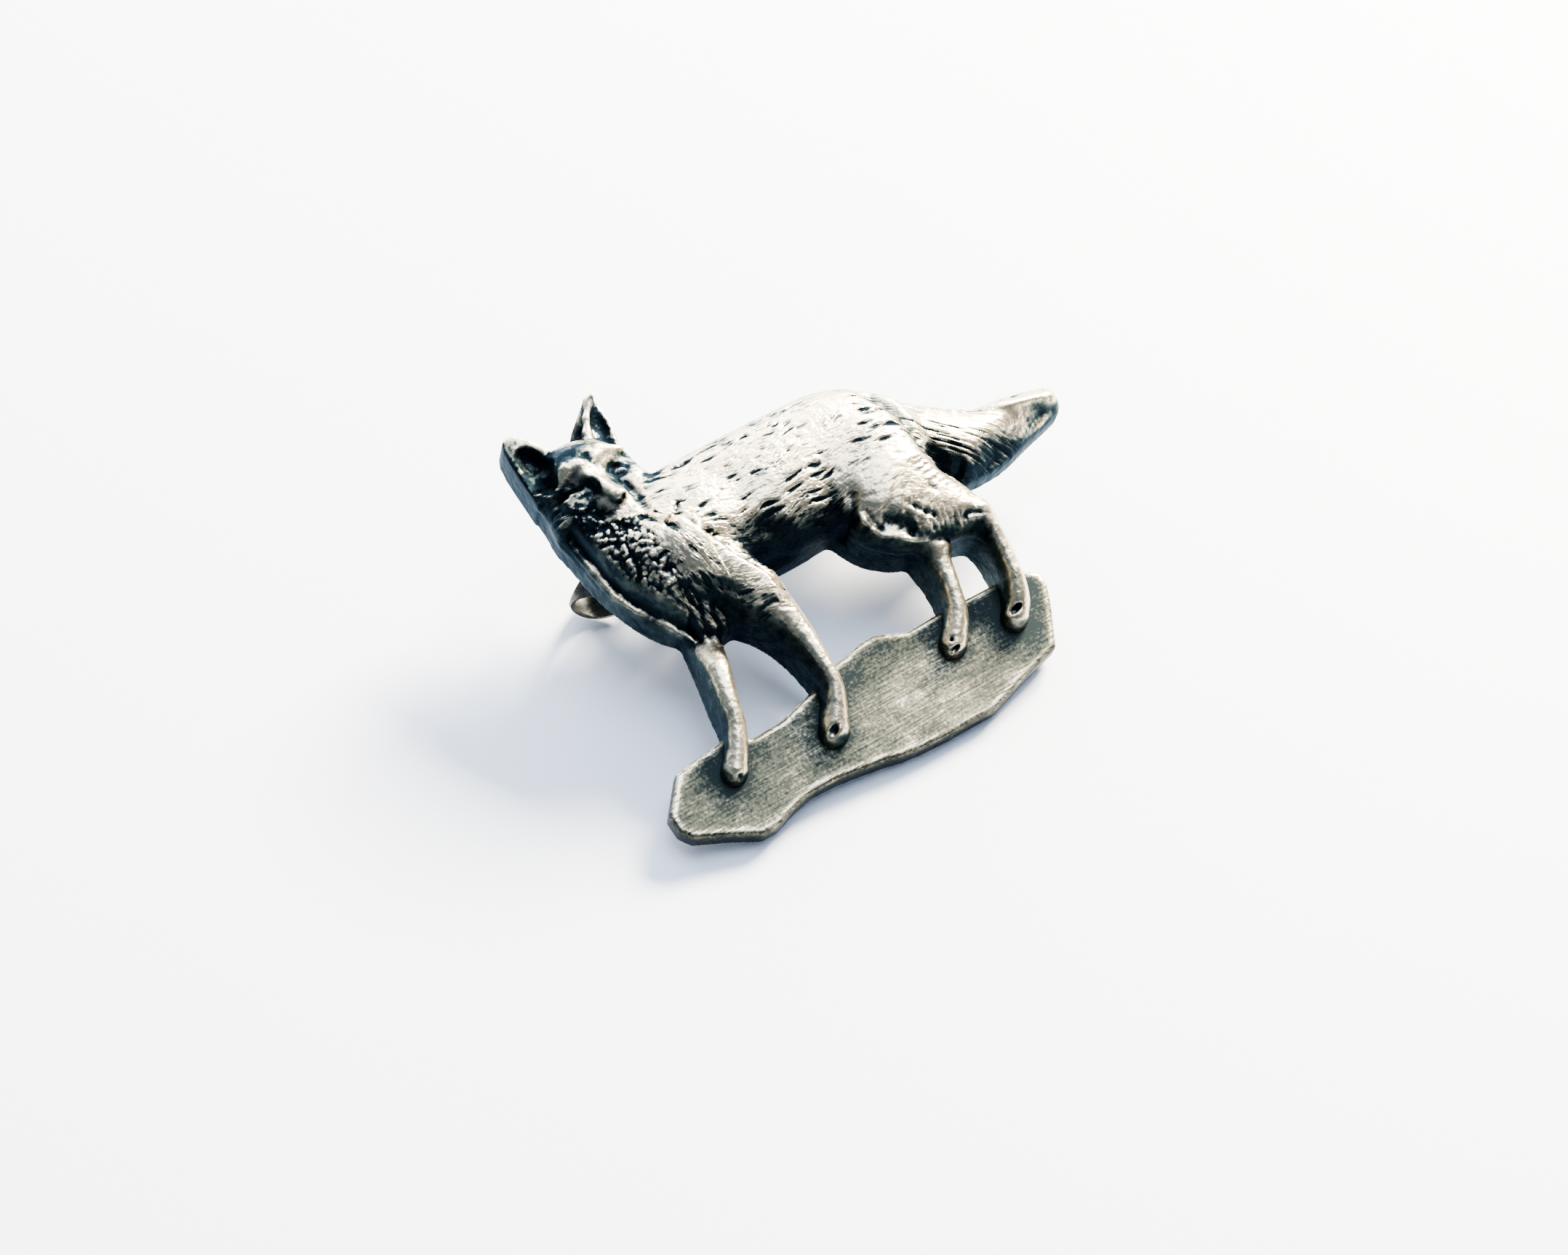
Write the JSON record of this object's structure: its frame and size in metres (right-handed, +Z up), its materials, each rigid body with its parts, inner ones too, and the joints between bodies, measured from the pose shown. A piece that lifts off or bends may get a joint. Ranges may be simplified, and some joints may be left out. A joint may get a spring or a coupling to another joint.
{
  "type": "figural animal brooch",
  "caption": "Flat-backed brooch cast as a standing fox on a thin plate of ground, with tack posts and butterfly clutches behind.",
  "frame": {"origin": "middle of the brooch's box on the surface that it lies on", "axes": "+X along the ground plate from the fox's head end to its tail, +Y up the fox along the surface, +Z up out of the surface"},
  "size_m": [0.0424, 0.0326, 0.0137],
  "materials": {
    "casting": "cast pewter, dark in the recesses and rubbed bright on the high places",
    "post": "plain drawn wire",
    "clutch": "plated spring sheet, slightly tarnished"
  },
  "bodies": {
    "root": {"fox_and_ground": "casting", "left_post": "post", "right_post": "post", "left_clutch": "clutch", "right_clutch": "clutch"}
  },
  "joints": []
}
